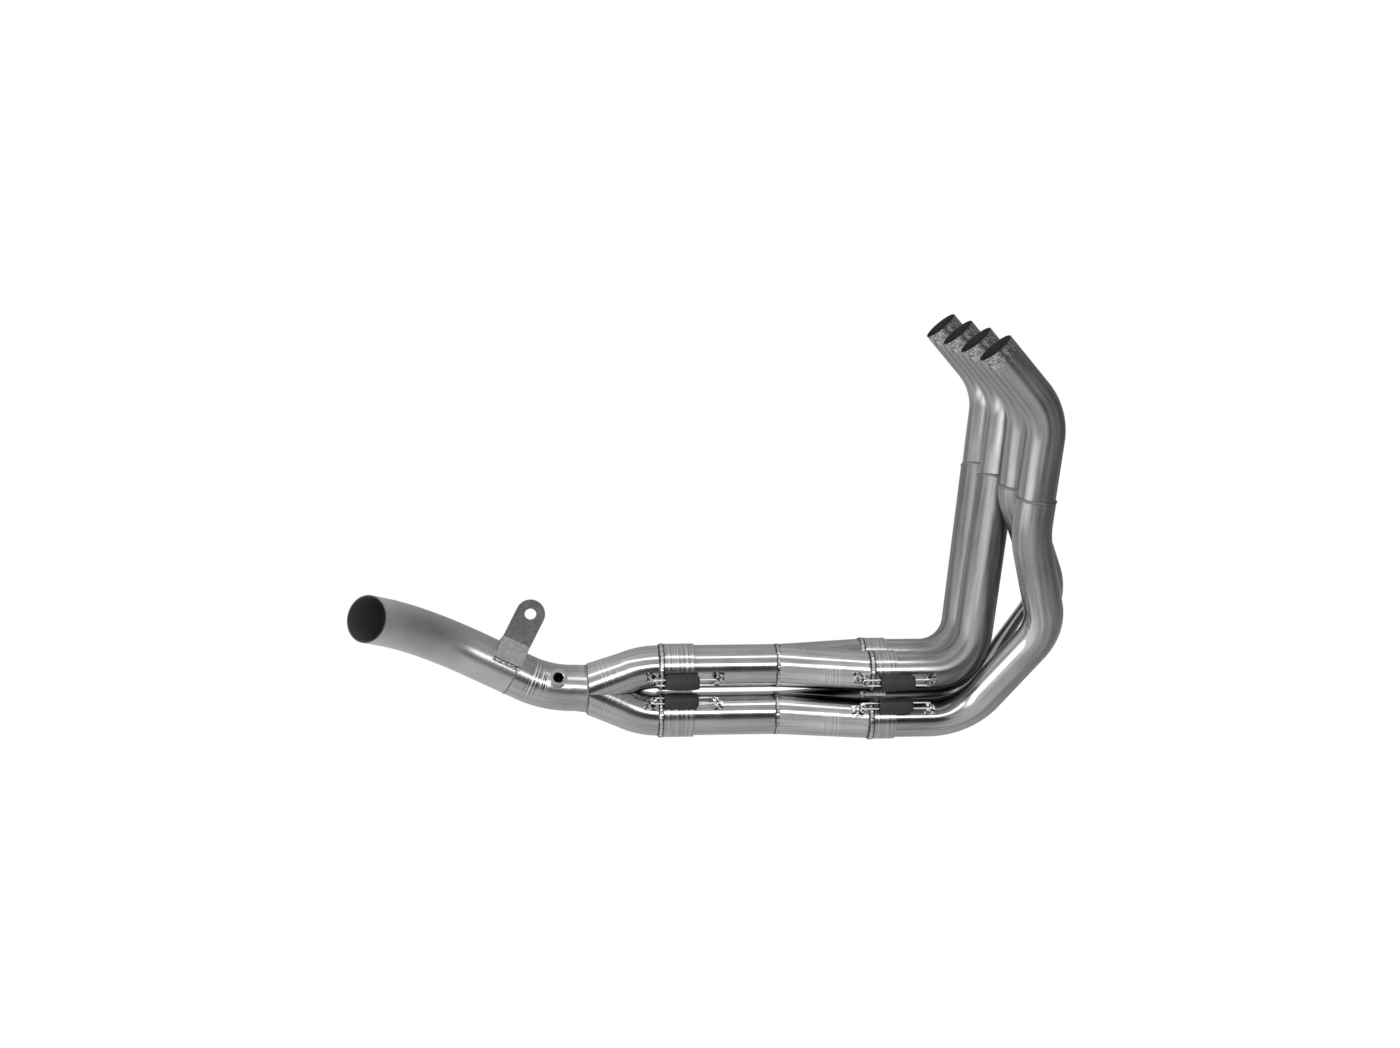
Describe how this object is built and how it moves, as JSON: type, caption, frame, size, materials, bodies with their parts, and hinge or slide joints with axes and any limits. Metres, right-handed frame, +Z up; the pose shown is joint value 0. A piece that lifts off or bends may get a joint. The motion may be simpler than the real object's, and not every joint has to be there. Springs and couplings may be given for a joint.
{
  "type": "motorcycle exhaust header",
  "caption": "Motorcycle exhaust header of stainless tube, with paired collectors, slip joints held by springs, a lambda bung, a hanger bracket and a bent tail pipe.",
  "frame": {"origin": "under the middle of the header's box, on the plane that the lower run lies on", "axes": "+X to the front wheel, +Y to the bike's left, +Z up; the right-hand side, from which the picture is taken, is at -Y"},
  "size_m": [0.7448, 0.278, 0.4355],
  "materials": {
    "pipe_steel": "satin, drawn tube",
    "collector_steel": "satin, folded sheet",
    "sleeve_steel": "satin, fine marks across",
    "weld_bead": "rippled weld",
    "bracket_steel": "satin plate",
    "bung_steel": "turned",
    "lug_steel": "satin plate",
    "spring_wire": "bright wire",
    "rubber_cover": "matt rubber"
  },
  "bodies": {
    "root": {"bracket_weld": "weld_bead", "collector_lugs": "lug_steel", "final_collector": "collector_steel", "final_sleeve_lower": "sleeve_steel", "final_sleeve_upper": "sleeve_steel", "final_sleeve_weld_lower": "weld_bead", "final_sleeve_weld_upper": "weld_bead", "hanger_bracket": "bracket_steel", "head_pipe_1": "pipe_steel", "head_pipe_2": "pipe_steel", "head_pipe_3": "pipe_steel", "head_pipe_4": "pipe_steel", "lambda_bung": "bung_steel", "link_pipe": "pipe_steel", "outlet_weld": "weld_bead", "pair_collector_lower": "collector_steel", "pair_collector_upper": "collector_steel", "pair_outlet_weld_lower": "weld_bead", "pair_outlet_weld_upper": "weld_bead", "pipe_lugs": "lug_steel", "pipe_weld_1": "weld_bead", "pipe_weld_2": "weld_bead", "pipe_weld_3": "weld_bead", "pipe_weld_4": "weld_bead", "primary_pipe_1": "pipe_steel", "primary_pipe_2": "pipe_steel", "primary_pipe_3": "pipe_steel", "primary_pipe_4": "pipe_steel", "secondary_pipe_lower": "pipe_steel", "secondary_pipe_upper": "pipe_steel", "sleeve_weld_1": "weld_bead", "sleeve_weld_2": "weld_bead", "sleeve_weld_3": "weld_bead", "sleeve_weld_4": "weld_bead", "slip_sleeve_1": "sleeve_steel", "slip_sleeve_2": "sleeve_steel", "slip_sleeve_3": "sleeve_steel", "slip_sleeve_4": "sleeve_steel", "spring_1": "spring_wire", "spring_2": "spring_wire", "spring_3": "spring_wire", "spring_4": "spring_wire", "spring_cover_1": "rubber_cover", "spring_cover_2": "rubber_cover", "spring_cover_3": "rubber_cover", "spring_cover_4": "rubber_cover", "spring_cover_lower": "rubber_cover", "spring_cover_upper": "rubber_cover", "spring_hooks_1": "spring_wire", "spring_hooks_2": "spring_wire", "spring_hooks_3": "spring_wire", "spring_hooks_4": "spring_wire", "spring_hooks_lower": "spring_wire", "spring_hooks_upper": "spring_wire", "spring_lower": "spring_wire", "spring_upper": "spring_wire", "tail_pipe": "pipe_steel", "tail_weld": "weld_bead"}
  },
  "joints": []
}
